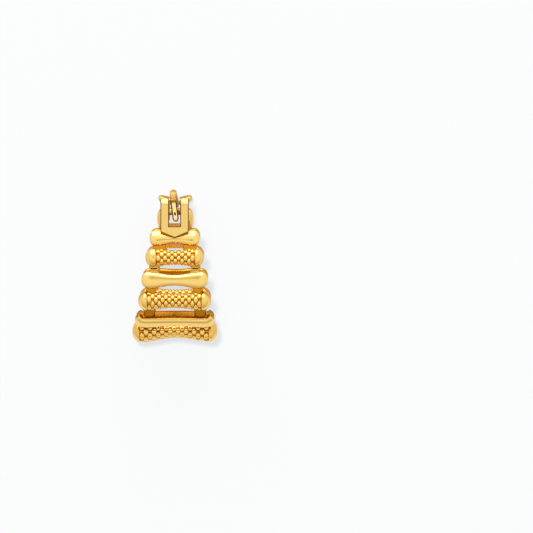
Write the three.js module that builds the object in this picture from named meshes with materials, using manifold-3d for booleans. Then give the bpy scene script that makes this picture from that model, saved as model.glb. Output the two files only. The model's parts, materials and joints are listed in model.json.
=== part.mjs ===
// A hinged hoop earring for a pierced ear: a hoop of graduated gold bars, smooth and beaded ones in
// turn, with a forked catch soldered to its back and an ear wire that swings on a pin at its front.
//
// The hoop's own axes, in millimetres: X runs along the bars, Y up the hoop to its open top, and Z
// from its front to its back. The whole is then turned about X to lie on its front bars, catch up,
// with the origin under its middle, on the surface.

import * as THREE from 'three';
import { mergeVertices } from 'three/addons/utils/BufferGeometryUtils.js';
import Module from 'manifold-3d';

const wasm = await Module();
wasm.setup();

// The centre line of the bars, seen from the side: a half circle below the hoop's widest level, and
// above it two long arcs that lean in towards the top.
const RING_RADIUS = 7.05;
const LEAN_RADIUS = 20;

// The makes of bar. "out" and "in" are how far a bar stands out of the centre line and in from it,
// at its ends and at its waist. The three squarenesses shape its outside, its inside and its ends:
// 2 is round, and more is squarer. A beaded bar is a round rod with a knob at each end.
const SMOOTH = {
  out: { end: 0.7, waist: 0.62 }, in: { end: 0.6, waist: 0.65 }, outside: 2.5, inside: 4, ends: 9,
};
const BEADED = {
  out: { end: 1.22, waist: 0.85 }, in: { end: 1.0, waist: 0.65 }, outside: 2.2, inside: 2.6, ends: 7,
};
const LARGE_BEADED = { ...BEADED, out: { end: 1.4, waist: 0.8 }, in: { end: 1.3, waist: 0.65 }, ends: 9 };
const BOTTOM = { ...SMOOTH, out: { end: 1.15, waist: 0.6 } };
const CUSHION = { ...SMOOTH, out: { end: 1.0, waist: 1.0 }, in: { end: 0.5, waist: 0.5 }, ends: 7 };
const HORNED = { ...SMOOTH, out: { end: 0.6, waist: 0.5 }, in: { end: 0.5, waist: 0.5 }, ends: 5 };

// One row for each bar from the top down, at both the back and the front. "along" is its place on
// the centre line, below the widest level. "end" and "waist" are its width at its ends and middle,
// and "frontWaist" is there where the front one differs. "notched" bars have an upper side that
// runs straight and steps out only close to the ends. "ribs" are those to the next bar, where they
// aren't like the rest.
const BARS = [
  {
    along: -5.35, length: 6.38, end: 2.15, waist: 1.42, make: SMOOTH, ribs: { width: 1.75, place: 0.61 },
  },
  { along: -2.86, length: 7.46, end: 2.45, waist: 1.9, frontWaist: 1.0, make: BEADED },
  { along: 0, length: 8.45, end: 2.34, waist: 1.42, frontWaist: 1.95, make: SMOOTH },
  { along: 2.7, length: 9.29, end: 2.55, waist: 1.95, make: BEADED },
  { along: 5.8, length: 10.14, end: 2.5, waist: 1.45, notched: true, make: SMOOTH },
  { along: 8.85, length: 10.95, end: 2.8, waist: 1.8, make: LARGE_BEADED },
];
// The smooth bar at the very bottom, a little askew, and the two pieces that finish the front's top.
// The top bar's ends rise like horns. "rise" is how far, and it grows as a power of the place along
// the bar.
const QUARTER_HOOP = RING_RADIUS * Math.PI / 2;
const BOTTOM_BAR = { along: QUARTER_HOOP, length: 10.85, end: 2.4, waist: 1.6, make: BOTTOM };
const BOTTOM_BAR_SKEW = 1;
const TOP_OVAL = { along: -7.66, length: 4.7, end: 3.1, waist: 3.1, make: CUSHION };
const TOP_BAR = {
  along: -10, length: 4.4, end: 1.15, waist: 0.95, rise: 0.5, make: HORNED, ribs: { width: 1, place: 0.55 },
};
// A window through the oval, behind the tip of the wire's tongue.
const WINDOW = { width: 1.9, height: 1.06, corner: 0.25, y: 7.47, z: -5.5, depth: 3.4 };

// How far from its middle a bar's waist reaches, as a share of its half length.
const WAIST_REACH = 0.86;
const NOTCH = { from: 0.8, to: 0.9 };
const RISE_POWER = { upperSide: 1.5, lowerSide: 2.5 };
const END_ROUNDING = 1 / 2.2;
const FACETS_AROUND = 14;
const FACETS_ALONG = 14;

// Short ribs inside the hoop tie each bar to the next near both ends.
const RIBS = { width: 1.3, place: 0.73 };
const RIB_THICKNESS = 0.7;
const RIB_INSET = 0.15;

// A flat plate behind the front's top pieces backs the hinge. Y and Z are those of its two ends.
const HINGE_PLATE = {
  width: 2.7,
  thickness: 0.5,
  top: { y: 8.3, z: -4.75 },
  foot: { y: 3.74, z: -6.25 },
};

// The catch: a flat plate with a slot between two prongs, pointed below.
const CATCH = {
  width: 3.6,
  top: 10.44,
  shoulder: 6.1,
  point: 5.35,
  face: 7.3,
  thickness: 1.2,
  slotWidth: 1.42,
  slotFloor: 6.83,
  slope: 34,
  slopeLength: 0.62,
  tipBend: 0.25,
  footBend: 0.3,
  cornerRadius: 0.2,
};
// Two small detent nubs on the slot's walls, beside the tongue.
const NUB_RADIUS = 0.18;
const NUB_SINK = 0.03;
const NUB_HEIGHTS = [8.66, 9.06];

// The hinge: a pin through the two ears of the top bar, with the wire's knuckle between them.
const PIN_RADIUS = 0.22;
const PIN_LENGTH = 2.2;
const PIN_GAP = 0.03;
const KNUCKLE_RADIUS = 0.5;
const KNUCKLE_LENGTH = 0.86;
const KNUCKLE_GAP = 0.05;
const HINGE = { y: 9.55, z: -4.55 };
const EAR_SLOT = { width: 1.1, floor: 8.86, height: 3, depth: 3 };

// The ear wire: a round wire that arches over the gap, turns down over the slot and ends in a flat
// tongue with a pointed tip, which leans a little in the slot.
const WIRE_RADIUS = 0.4;
const WIRE_ROUTE = [
  { x: 0, y: HINGE.y, z: HINGE.z },
  { x: 0, y: 9.95, z: -3.5 },
  { x: -0.01, y: 10.2, z: -1.6 },
  { x: -0.07, y: 10.52, z: 1.6 },
  { x: -0.14, y: 10.9, z: 4.5 },
  { x: -0.165, y: 11.05, z: 5.7 },
  { x: -0.17, y: 10.8, z: 6.4 },
  { x: -0.17, y: 10.08, z: 6.6 },
];
const TONGUE = {
  width: 0.74,
  thickness: 0.6,
  top: 10.4,
  shoulder: 7.8,
  tip: 7.35,
  back: 6.9,
  lean: 7.5,
  topX: -0.21,
  tipRoundness: 0.8,
};
const TONGUE_EYE = { width: 0.13, length: 0.36, y: 8.45 };

// Cutting shapes reach this far past what they cut.
const MARGIN = 0.5;

// How the whole lies: turned about X until two of the front's beaded bars rest on the surface.
const LYING_TURN = 3.12;

const degrees = Math.PI / 180;

// ---------------------------------------------------------------------------------------------
// Solids

function toSolid(geometry) {
  const bare = geometry.clone();
  bare.deleteAttribute('normal');
  bare.deleteAttribute('uv');
  const merged = mergeVertices(bare, 1e-5);
  const mesh = new wasm.Mesh({
    numProp: 3,
    vertProperties: new Float32Array(merged.attributes.position.array),
    triVerts: new Uint32Array(merged.index.array),
  });
  return new wasm.Manifold(mesh);
}

function toGeometry(solid) {
  const { vertProperties, triVerts } = solid.getMesh();
  const geometry = new THREE.BufferGeometry();
  geometry.setAttribute('position', new THREE.BufferAttribute(vertProperties, 3));
  geometry.setIndex(new THREE.BufferAttribute(triVerts, 1));
  geometry.computeVertexNormals();
  return geometry;
}

function joined(geometries) {
  return geometries.map(toSolid).reduce((whole, piece) => whole.add(piece));
}

// ---------------------------------------------------------------------------------------------
// Bars

// The point of the hoop's centre line at a place along it, and the turn of the hoop there.
function hoopPoint(along, side) {
  const radius = along < 0 ? LEAN_RADIUS : RING_RADIUS;
  const turn = along / radius;
  const y = -radius * Math.sin(turn);
  const z = RING_RADIUS - radius + radius * Math.cos(turn);
  return side === 'back' ? { y, z, turn } : { y, z: -z, turn: Math.PI - turn };
}

function signedPower(value, power) {
  return Math.sign(value) * Math.abs(value) ** power;
}

// A bar lying along X with its outside to +Z: a sphere drawn out to a rounded bone. "upper" is the
// sign of Y towards the top of the hoop.
function boneGeometry(bar, upper) {
  const { make } = bar;
  const geometry = new THREE.SphereGeometry(1, FACETS_AROUND, FACETS_ALONG);
  geometry.rotateZ(Math.PI / 2);
  const position = geometry.attributes.position;
  for (let i = 0; i < position.count; i += 1) {
    const share = THREE.MathUtils.clamp(position.getX(i), -1, 1);
    const around = Math.atan2(position.getZ(i), position.getY(i));
    const swell = Math.sin(Math.PI / 2 * Math.min(1, Math.abs(share) / WAIST_REACH)) ** 2;
    const onUpperSide = Math.cos(around) * upper > 0;
    const widening = bar.notched && onUpperSide
      ? THREE.MathUtils.smoothstep(Math.abs(share), NOTCH.from, NOTCH.to)
      : swell;
    const rounding = (1 - Math.abs(share) ** make.ends) ** END_ROUNDING;
    const risePower = onUpperSide ? RISE_POWER.upperSide : RISE_POWER.lowerSide;
    const rise = upper * (bar.rise ?? 0) * Math.abs(share) ** risePower;
    const halfWidth = THREE.MathUtils.lerp(bar.waist, bar.end, widening) / 2;
    const outside = Math.sin(around) > 0;
    const reach = outside ? make.out : make.in;
    const height = THREE.MathUtils.lerp(reach.waist, reach.end, swell);
    const power = 2 / (outside ? make.outside : make.inside);
    position.setXYZ(
      i,
      share * bar.length / 2,
      rise + rounding * halfWidth * signedPower(Math.cos(around), power),
      rounding * height * signedPower(Math.sin(around), power),
    );
  }
  return geometry;
}

function placedBar(bar, side, skew = 0) {
  const { y, z, turn } = hoopPoint(bar.along, side);
  const upper = side === 'back' ? 1 : -1;
  return boneGeometry(bar, upper).rotateX(turn).rotateZ(skew * degrees).translate(0, y, z);
}

// The two ribs between a bar and the next one on the same side.
function placedRibs(bar, next, side) {
  const from = hoopPoint(bar.along, side);
  const to = hoopPoint(next.along, side);
  const length = Math.hypot(to.y - from.y, to.z - from.z);
  const turn = Math.atan2(to.z - from.z, to.y - from.y);
  const middle = hoopPoint((bar.along + next.along) / 2, side);
  const inward = side === 'back' ? -1 : 1;
  const { width, place } = bar.ribs ?? RIBS;
  const offset = Math.min(bar.length, next.length) / 2 * place;
  return [-offset, offset].map((x) => new THREE.BoxGeometry(width, length, RIB_THICKNESS)
    .rotateX(turn)
    .translate(
      x,
      (from.y + to.y) / 2 + RIB_INSET * Math.sin(middle.turn),
      (from.z + to.z) / 2 + inward * RIB_INSET * Math.abs(Math.cos(middle.turn)),
    ));
}

function sideOfHoop(side) {
  const column = side === 'front' ? [TOP_BAR, TOP_OVAL, ...BARS, BOTTOM_BAR] : [...BARS, BOTTOM_BAR];
  const bars = BARS.map((bar) => {
    const differs = side === 'front' && bar.frontWaist;
    return placedBar(differs ? { ...bar, waist: bar.frontWaist } : bar, side);
  });
  const ribs = column.slice(1).flatMap((next, i) => placedRibs(column[i], next, side));
  return [...bars, ...ribs];
}

function hingePlate() {
  const { width, thickness, top, foot } = HINGE_PLATE;
  const rise = top.y - foot.y;
  const reach = top.z - foot.z;
  return new THREE.BoxGeometry(width, Math.hypot(rise, reach), thickness)
    .rotateX(Math.atan2(reach, rise))
    .translate(0, (top.y + foot.y) / 2, (top.z + foot.z) / 2);
}

function roundedRectangle(width, height, corner) {
  const x = width / 2 - corner;
  const y = height / 2 - corner;
  const outline = new THREE.Shape();
  outline.absarc(x, y, corner, 0, Math.PI / 2, false);
  outline.absarc(-x, y, corner, Math.PI / 2, Math.PI, false);
  outline.absarc(-x, -y, corner, Math.PI, 3 * Math.PI / 2, false);
  outline.absarc(x, -y, corner, 3 * Math.PI / 2, 2 * Math.PI, false);
  outline.closePath();
  return outline;
}

function windowThroughOval() {
  const outline = roundedRectangle(WINDOW.width, WINDOW.height, WINDOW.corner);
  return new THREE.ExtrudeGeometry(outline, {
    depth: WINDOW.depth,
    bevelEnabled: false,
    curveSegments: 4,
  }).translate(0, WINDOW.y, WINDOW.z - WINDOW.depth / 2);
}

// ---------------------------------------------------------------------------------------------
// Catch

function catchOutline() {
  const half = CATCH.width / 2;
  const slot = CATCH.slotWidth / 2;
  const corner = CATCH.cornerRadius;
  const outline = new THREE.Shape();
  outline.moveTo(0, CATCH.point);
  outline.lineTo(half, CATCH.shoulder);
  outline.lineTo(half, CATCH.top - corner);
  outline.absarc(half - corner, CATCH.top - corner, corner, 0, Math.PI / 2, false);
  outline.absarc(slot + corner, CATCH.top - corner, corner, Math.PI / 2, Math.PI, false);
  outline.lineTo(slot, CATCH.slotFloor);
  outline.lineTo(-slot, CATCH.slotFloor);
  outline.absarc(-slot - corner, CATCH.top - corner, corner, 0, Math.PI / 2, false);
  outline.absarc(-half + corner, CATCH.top - corner, corner, Math.PI / 2, Math.PI, false);
  outline.lineTo(-half, CATCH.shoulder);
  outline.closePath();
  return outline;
}

// The catch's section across its thickness: its outer face slopes away near the top of the prongs
// and rounds over at the very end.
function catchSection() {
  const inner = CATCH.face - CATCH.thickness;
  const slope = CATCH.slope * degrees;
  const fall = CATCH.slopeLength * Math.sin(slope) + CATCH.footBend * (1 - Math.cos(slope));
  const tip = {
    y: CATCH.top - CATCH.tipBend,
    z: CATCH.face - fall - CATCH.tipBend * Math.cos(slope),
  };
  const foot = {
    y: tip.y - CATCH.slopeLength * Math.cos(slope)
      + (CATCH.tipBend - CATCH.footBend) * Math.sin(slope),
    z: CATCH.face - CATCH.footBend,
  };
  const section = new THREE.Shape();
  section.moveTo(CATCH.point - MARGIN, inner);
  section.lineTo(CATCH.top, inner);
  section.absarc(tip.y, tip.z, CATCH.tipBend, 0, Math.PI / 2 - slope, false);
  section.absarc(foot.y, foot.z, CATCH.footBend, Math.PI / 2 - slope, Math.PI / 2, false);
  section.lineTo(CATCH.point - MARGIN, CATCH.face);
  section.closePath();
  return section;
}

function catchSolid() {
  const plate = new THREE.ExtrudeGeometry(catchOutline(), {
    depth: CATCH.thickness + 2 * MARGIN,
    bevelEnabled: false,
    curveSegments: 4,
  }).translate(0, 0, CATCH.face - CATCH.thickness - MARGIN);
  const barLength = CATCH.width + 2 * MARGIN;
  const bar = new THREE.ExtrudeGeometry(catchSection(), {
    depth: barLength,
    bevelEnabled: false,
    curveSegments: 6,
  });
  // The section is drawn as (Y, Z) and drawn out along X.
  bar.applyMatrix4(new THREE.Matrix4().set(
    0, 0, 1, -barLength / 2,
    1, 0, 0, 0,
    0, 1, 0, 0,
    0, 0, 0, 1,
  ));
  return toSolid(plate).intersect(toSolid(bar));
}

function nubs() {
  return NUB_HEIGHTS.map((y, i) => {
    const side = i === 0 ? -1 : 1;
    const x = side * (CATCH.slotWidth / 2 - NUB_RADIUS + NUB_SINK);
    return new THREE.SphereGeometry(NUB_RADIUS, 8, 6).translate(x, y, CATCH.face - CATCH.thickness);
  });
}

// ---------------------------------------------------------------------------------------------
// Hinge and ear wire

function rod(radius, length, sides) {
  return new THREE.CylinderGeometry(radius, radius, length, sides).rotateZ(Math.PI / 2);
}

function atHinge(geometry) {
  return geometry.translate(0, HINGE.y, HINGE.z);
}

function earSlot() {
  return new THREE.BoxGeometry(EAR_SLOT.width, EAR_SLOT.height, EAR_SLOT.depth)
    .translate(0, EAR_SLOT.floor + EAR_SLOT.height / 2, HINGE.z);
}

function wireGeometry() {
  const points = WIRE_ROUTE.map(({ x, y, z }) => new THREE.Vector3(x, y, z));
  const route = new THREE.CatmullRomCurve3(points);
  const section = new THREE.Shape().absarc(0, 0, WIRE_RADIUS, 0, 2 * Math.PI, false);
  return new THREE.ExtrudeGeometry(section, { steps: 28, extrudePath: route, curveSegments: 6 });
}

function tongueEye() {
  const { width, length, y } = TONGUE_EYE;
  const eye = new THREE.Path();
  eye.absellipse(0, y - TONGUE.top, width / 2, length / 2, 0, 2 * Math.PI, true);
  return eye;
}

function tongueGeometry() {
  const half = TONGUE.width / 2;
  const shoulder = TONGUE.shoulder - TONGUE.top;
  const tip = TONGUE.tip - TONGUE.top;
  const outline = new THREE.Shape();
  outline.moveTo(half, 0);
  outline.lineTo(-half, 0);
  outline.lineTo(-half, shoulder);
  outline.quadraticCurveTo(-half * TONGUE.tipRoundness, tip, 0, tip);
  outline.quadraticCurveTo(half * TONGUE.tipRoundness, tip, half, shoulder);
  outline.closePath();
  outline.holes.push(tongueEye());
  return new THREE.ExtrudeGeometry(outline, {
    depth: TONGUE.thickness,
    bevelEnabled: false,
    curveSegments: 5,
  })
    .rotateZ(TONGUE.lean * degrees)
    .translate(TONGUE.topX, TONGUE.top, TONGUE.back - TONGUE.thickness);
}

// ---------------------------------------------------------------------------------------------
// The three pieces

function hoop() {
  const bars = [
    ...sideOfHoop('back'),
    ...sideOfHoop('front'),
    placedBar(BOTTOM_BAR, 'back', BOTTOM_BAR_SKEW),
    placedBar(TOP_OVAL, 'front'),
    placedBar(TOP_BAR, 'front'),
    hingePlate(),
    ...nubs(),
  ];
  const bore = toSolid(atHinge(rod(PIN_RADIUS + PIN_GAP, PIN_LENGTH + 2 * PIN_GAP, 12)));
  const cuts = [bore, toSolid(earSlot()), toSolid(windowThroughOval())];
  const solid = cuts.reduce((whole, cut) => whole.subtract(cut), joined(bars).add(catchSolid()));
  return toGeometry(solid);
}

function earWire() {
  const knuckle = atHinge(rod(KNUCKLE_RADIUS, KNUCKLE_LENGTH, 16));
  const bore = atHinge(rod(PIN_RADIUS + KNUCKLE_GAP, 2 * KNUCKLE_LENGTH, 12));
  return toGeometry(joined([wireGeometry(), knuckle, tongueGeometry()]).subtract(toSolid(bore)));
}

function hingePin() {
  return atHinge(rod(PIN_RADIUS, PIN_LENGTH, 12));
}

function goldMaterial(roughness) {
  return new THREE.MeshStandardMaterial({ color: 0xf0b93a, metalness: 1, roughness });
}

function piece(name, geometry, roughness) {
  const mesh = new THREE.Mesh(geometry, goldMaterial(roughness));
  mesh.name = name;
  return mesh;
}

const earring = new THREE.Group();
earring.add(piece('hoop', hoop(), 0.15));
earring.add(piece('ear_wire', earWire(), 0.25));
earring.add(piece('hinge_pin', hingePin(), 0.2));
earring.rotation.x = LYING_TURN * degrees;

// Set on the surface, with the origin under the middle of its box.
const box = new THREE.Box3().setFromObject(earring, true);
const centre = box.getCenter(new THREE.Vector3());
earring.position.set(-centre.x, -centre.y, -box.min.z);

export default earring;
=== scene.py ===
import json
import math

import bmesh
import bpy
import numpy as np
from mathutils import Matrix, Vector


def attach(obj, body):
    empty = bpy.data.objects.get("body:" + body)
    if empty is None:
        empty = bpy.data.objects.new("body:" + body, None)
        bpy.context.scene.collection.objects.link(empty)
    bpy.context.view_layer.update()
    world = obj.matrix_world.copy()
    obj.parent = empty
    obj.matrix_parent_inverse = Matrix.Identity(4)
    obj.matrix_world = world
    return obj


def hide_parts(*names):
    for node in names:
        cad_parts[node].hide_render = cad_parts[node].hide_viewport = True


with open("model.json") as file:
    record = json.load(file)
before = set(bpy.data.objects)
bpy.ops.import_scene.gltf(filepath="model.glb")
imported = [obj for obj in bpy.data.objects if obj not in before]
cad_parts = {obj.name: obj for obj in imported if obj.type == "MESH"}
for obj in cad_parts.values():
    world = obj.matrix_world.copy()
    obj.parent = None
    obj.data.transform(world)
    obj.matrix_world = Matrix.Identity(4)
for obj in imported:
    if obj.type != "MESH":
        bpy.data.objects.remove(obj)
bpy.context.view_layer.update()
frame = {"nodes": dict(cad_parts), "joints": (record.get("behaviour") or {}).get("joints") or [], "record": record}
record = frame["record"]

MM = 0.001

# ---------------------------------------------------------------------------------------------
# The hoop's own axes, in millimetres: X along the bars, Y up to the open top, Z front to back.
# The catch's flat face looks along Z, and the hinge's place gives the origin.

HINGE_Y, HINGE_Z = 9.55, -4.55


def mount(name):
    return next(m for m in record["mounts"] if m["name"] == name)


across = Vector((1, 0, 0))
outward = Vector(mount("catch_face")["axis"]).normalized()
upward = outward.cross(across)
hinge_point = Vector(frame["joints"][0]["pos_m"])
centre = hinge_point - (upward * HINGE_Y + outward * HINGE_Z) * MM
hoop_axes = Matrix.Translation(centre) @ Matrix((across, upward, outward)).transposed().to_4x4()
from_mm = hoop_axes @ Matrix.Scale(MM, 4)

# ---------------------------------------------------------------------------------------------
# Sizes, in millimetres

# The hoop's centre line is a half circle that goes on in two slower curves to its open top.
RING_RADIUS = 7.05
LEAN_RADIUS = 20.0

# How the bars are made: their thickness outside and inside the centre line at their ends and at
# their waist, the squareness of their outer and inner half, and the squareness of their ends or
# the length of the round knobs there.
SMOOTH = dict(out_end=0.7, out_waist=0.62, in_end=0.6, in_waist=0.65, outside=2.6, inside=4.0, ends=9.0)
BEADED = dict(out_end=1.22, out_waist=0.85, in_end=1.0, in_waist=0.65, outside=2.2, inside=2.4, knob=1.1)
LARGE_BEADED = dict(BEADED, out_end=1.4, out_waist=0.8, in_end=1.3, knob=1.0)
BOTTOM = dict(SMOOTH, out_end=1.15, out_waist=0.6)
CUSHION = dict(SMOOTH, out_end=1.0, out_waist=1.0, in_end=0.5, in_waist=0.5, outside=2.5, ends=7.0)
HORNED = dict(SMOOTH, out_end=0.76, out_waist=0.6, in_end=0.36, in_waist=0.4, outside=2.5, ends=5.0)

# Each bar's place along the hoop below its widest level, its length, and its width at its ends and
# its waist, where the front one's may differ. Some have a notched upper side, horns that rise, or
# ribs of their own size, as shares of half their length. A beaded bar has columns of beads: their
# number, pitch and radius, their shift along the bar, their turn around it, and how far the odd
# columns are turned beyond that. The shade is how dark the painted shade on a bar's sides is, the
# least painted shade is how dark all of it is painted, and an open inside is painted as light as
# its outside.
BARS = [
    dict(along=-5.35, length=6.38, end=2.15, waist=1.42, make=SMOOTH, rib_width=0.55, rib_place=0.61),
    dict(along=-2.86, length=7.46, end=2.45, waist=1.9, front_waist=1.0, make=BEADED,
         beads=dict(columns=11, pitch=0.434, radius=0.31, shift=0.1, turn=-12, odd=30)),
    dict(along=0.0, length=8.45, end=2.34, waist=1.42, front_waist=1.95, make=SMOOTH),
    dict(along=2.7, length=9.29, end=2.55, waist=1.95, make=BEADED,
         beads=dict(columns=16, pitch=0.423, radius=0.31, shift=-0.05, turn=-4, odd=0)),
    dict(along=5.8, length=10.14, end=2.5, waist=1.45, notched=True, shade=1.45, make=SMOOTH),
    dict(along=8.85, length=10.95, end=2.8, waist=1.8, make=LARGE_BEADED, shade=0.4,
         beads=dict(columns=17, pitch=0.514, radius=0.37, shift=-0.1, turn=10, odd=0)),
]
# The ribs above this bar have a slit.
SLIT_RIBS_ABOVE = BARS[2]
BOTTOM_BAR = dict(along=RING_RADIUS * math.pi / 2, length=10.85, end=2.4, waist=1.6,
                  least_painted_shade=0.7, make=BOTTOM)
BOTTOM_BAR_SKEW = 1.0
TOP_OVAL = dict(along=-7.66, length=4.7, end=3.1, waist=3.1, open_inside=True, make=CUSHION)
TOP_BAR = dict(along=-10.2, length=4.4, end=0.97, waist=0.85, rise=0.5, open_inside=True,
               rib_width=0.4545, rib_place=0.55, make=HORNED)
EAR_SLOT_WIDTH = 1.1

# A bar swells from its waist to its ends over this share of its half length. A notched side stays
# narrow from one share to the other.
WAIST_REACH = 0.86
NOTCH_FROM, NOTCH_TO = 0.8, 0.9
UPPER_RISE_POWER, LOWER_RISE_POWER = 1.5, 2.5
END_POWER = 2.2

# The core of a beaded bar lies at its beads' middles. A bead's own middle lies its radius below
# the bar's outline, and there are six around the bar in each column. The beads are closed just
# below their middles, and they are drawn out around a thick bar more than around a thin one.
BEADS_AROUND = 6
BEAD_END_SHARE = 0.8
BEAD_FADE_FROM, BEAD_FADE_TO = -0.04, 0.1
BEAD_CLOSING = 112
BEAD_SQUARENESS = 2.4
BEAD_STRETCH = dict(radii=1.9, power=0.7, least=0.9, most=1.3)

RIB_WIDTH, RIB_PLACE, RIB_THICKNESS, RIB_INSET = 0.33, 0.7, 0.7, 0.15
RIB_SQUARENESS = 2.3
SLIT_HEIGHT, SLIT_SHARE, SLIT_DEPTH = 0.15, 0.7, 0.15
SLIT_FLOOR_SHARE = 0.9
SLIT_BEVEL = 0.04

HINGE_PLATE = dict(width=2.7, thickness=0.5, bevel=0.06, top=(8.6, -4.65), foot=(3.74, -6.25))
WINDOW = dict(width=1.9, height=1.06, corner=0.25, y=7.47, z=-5.5, depth=3.4)

CATCH = dict(width=3.6, top=10.44, shoulder=6.1, point=5.35, face=7.3, thickness=1.2,
             slot_width=1.42, slot_floor=6.83, corner_radius=0.32, bevel=0.15,
             fall=0.3, fall_length=0.9, fall_power=1.3)
NUB_RADIUS, NUB_SINK = 0.19, 0.03
NUB_HEIGHTS = (8.66, 9.06)

WIRE_RADIUS = 0.4
WIRE_ROUTE = [
    (0.0, 9.55, -4.55),
    (0.0, 9.95, -3.5),
    (-0.01, 10.2, -1.6),
    (-0.07, 10.52, 1.6),
    (-0.14, 10.9, 4.5),
    (-0.165, 11.05, 5.7),
    (-0.17, 10.8, 6.4),
    (-0.17, 9.98, 6.62),
]
# The wire's last part is a stub, squarer and a little wider than the rest.
STUB = dict(start=0.6, end=0.85, wider=0.05, squarer=2.2)
KNUCKLE = dict(radius=0.5, length=0.86, bore=0.27, rounding=0.05)
TONGUE = dict(width=0.8, thickness=0.6, top=10.4, tip=7.35, back=6.9, lean=7.5, top_x=-0.21,
              squareness=2.7, top_size=0.8, tip_length=0.62, tip_power=2.4, tip_size=0.02,
              thinning=0.65)
TONGUE_EYE = dict(width=0.18, length=0.42, y=8.36, depth=0.3, inside=0.8, outside=1.25)

# A small rounding at the cut ends of the top bar and the wire.
CUT_ROUNDING = 0.06

# ---------------------------------------------------------------------------------------------
# Painted shade: the gold's colour painted deeper where shade and dark reflections fall, from 0 in the open to 1 in
# a recess and 2 in a pit

# How far a bar's skin faces outward where its painted shade starts and where it is full: for its
# sides and its inner side, and then for the outer side of a front bar. A front bar's ends get
# painted shade that grows from one share of its half length to another.
SIDE_FROM, SIDE_TO = 0.66, 0.15
FRONT_FROM, FRONT_TO, FRONT_PAINTED_SHADE = -0.1, 0.3, 1.3
END_FROM, END_TO, END_PAINTED_SHADE = 0.7, 0.85, 0.8
# The painted shade of a beaded bar's core, which lies between its beads.
CORE_PAINTED_SHADE = 1.1

# The heights on a bead where its painted shade starts and where it is full, which darkens the
# valleys between the beads.
BEAD_FROM, BEAD_TO, BEAD_PAINTED_SHADE = 0.75, 0.2, 1.05

# Painted shade on the plain ribs, and on the slit ribs and the floors of their slits.
RIB_PAINTED_SHADE = 1.0
SLIT_RIB_PAINTED_SHADE, SLIT_PAINTED_SHADE = 0.2, 2.0
# Painted shade on the hinge plate above and below the window's middle, and on the window's upper and lower walls.
PLATE_PAINTED_SHADE, PLATE_FOOT_PAINTED_SHADE = 1.7, 0.2
WINDOW_TOP_PAINTED_SHADE, WINDOW_FLOOR_PAINTED_SHADE = 1.6, 0.15
# Painted shade on the catch's sides and over its rounded edge, where it fades inward with a power and draws a dark
# outline.
CATCH_SIDE_PAINTED_SHADE, CATCH_EDGE_PAINTED_SHADE, CATCH_EDGE_POWER = 0.3, 2.0, 3

# The stub's painted shade grows along the wire from one share to another, and with how far its
# skin faces to the sides or to the top.
STUB_FROM, STUB_TO, STUB_PAINTED_SHADE = 0.6, 0.8, 1.2
STUB_SIDE_FROM, STUB_SIDE_TO = 0.55, 0.9
STUB_TOP_FROM, STUB_TOP_TO = 0.6, 0.95

# The painted shade of the tongue's rim grows from one share of its half width to another, and
# round the tip over a length that stands for that half width. Under the stub it grows from one
# height to another, measured from the tongue's top.
RIM_FROM, RIM_TO, RIM_PAINTED_SHADE, RIM_AT_TIP = 0.5, 0.72, 1.9, 0.35
# The painted shade in the tongue's eye, dark as a pit.
EYE_PAINTED_SHADE = 2.0
UNDER_STUB_FROM, UNDER_STUB_TO, UNDER_STUB_PAINTED_SHADE = -0.72, -0.5, 1.4

# ---------------------------------------------------------------------------------------------
# How finely the meshes are cut

AROUND, ALONG = 64, 88
# A bar's rings are kept clear of its ends by one share of its half length. At a flat cut there is
# one more ring, the other share behind it.
CUT_CLEAR, CUT_STEP = 0.01, 0.012
BEAD_AROUND, BEAD_RINGS = 20, 11
RIB_AROUND, RIB_RINGS = 32, 14
ARC_STEPS, BEVEL_STEPS, PRONG_ROWS = 8, 6, 10
WIRE_AROUND, WIRE_SAMPLES = 48, 22
TONGUE_AROUND, TONGUE_RINGS = 96, 90
CARD_AROUND = 96

# Faces up to this area are smooth, and the flat ones above it stay flat.
LARGE_FACE = 0.1

# ---------------------------------------------------------------------------------------------
# Mesh building


class Shell:
    """Points and faces gathered from several closed forms, in the hoop's own axes, with each
    point's painted shade."""

    def __init__(self, edge_angle=None):
        self.edge_angle = edge_angle
        self.points = []
        self.faces = []
        self.painted_shades = []
        self.count = 0

    def add(self, points, faces, painted_shade=0.0):
        self.points.append(np.asarray(points, float))
        self.painted_shades.append(np.zeros(len(points)) + painted_shade)
        self.faces += [tuple(i + self.count for i in face) for face in faces]
        self.count += len(points)

    def piece(self, name, material, body, slot, *nodes):
        """Makes one object of all the forms, which rides on a body of the frame."""
        mesh = bpy.data.meshes.new(name)
        mesh.from_pydata(np.concatenate(self.points).tolist(), [], self.faces)
        smooth = [face.area < LARGE_FACE for face in mesh.polygons]
        mesh.polygons.foreach_set("use_smooth", smooth)
        if self.edge_angle:
            mesh.set_sharp_from_angle(angle=math.radians(self.edge_angle))
        mesh.transform(from_mm)
        mesh.materials.append(material)
        # Each point's painted shade, which the gold reads to paint its colour deeper.
        painted_shade = mesh.attributes.new("painted_shade", "FLOAT", "POINT")
        painted_shade.data.foreach_set("value", np.concatenate(self.painted_shades).astype(np.float32))
        piece = bpy.data.objects.new(name, mesh)
        bpy.context.scene.collection.objects.link(piece)
        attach(piece, body)
        if nodes:
            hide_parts(*nodes)


def smooth_step(low, high, value):
    """0 at low and 1 at high, whichever of them is the larger, with a soft slope between."""
    t = np.clip((value - low) / (high - low), 0, 1)
    return t * t * (3 - 2 * t)


def signed_power(value, power):
    return np.sign(value) * np.abs(value) ** power


def turned_about_x(points, turn):
    y, z = points[:, 1].copy(), points[:, 2].copy()
    points[:, 1] = y * math.cos(turn) - z * math.sin(turn)
    points[:, 2] = y * math.sin(turn) + z * math.cos(turn)
    return points


def turned_about_z(points, turn):
    x, y = points[:, 0].copy(), points[:, 1].copy()
    points[:, 0] = x * math.cos(turn) - y * math.sin(turn)
    points[:, 1] = x * math.sin(turn) + y * math.cos(turn)
    return points


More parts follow.
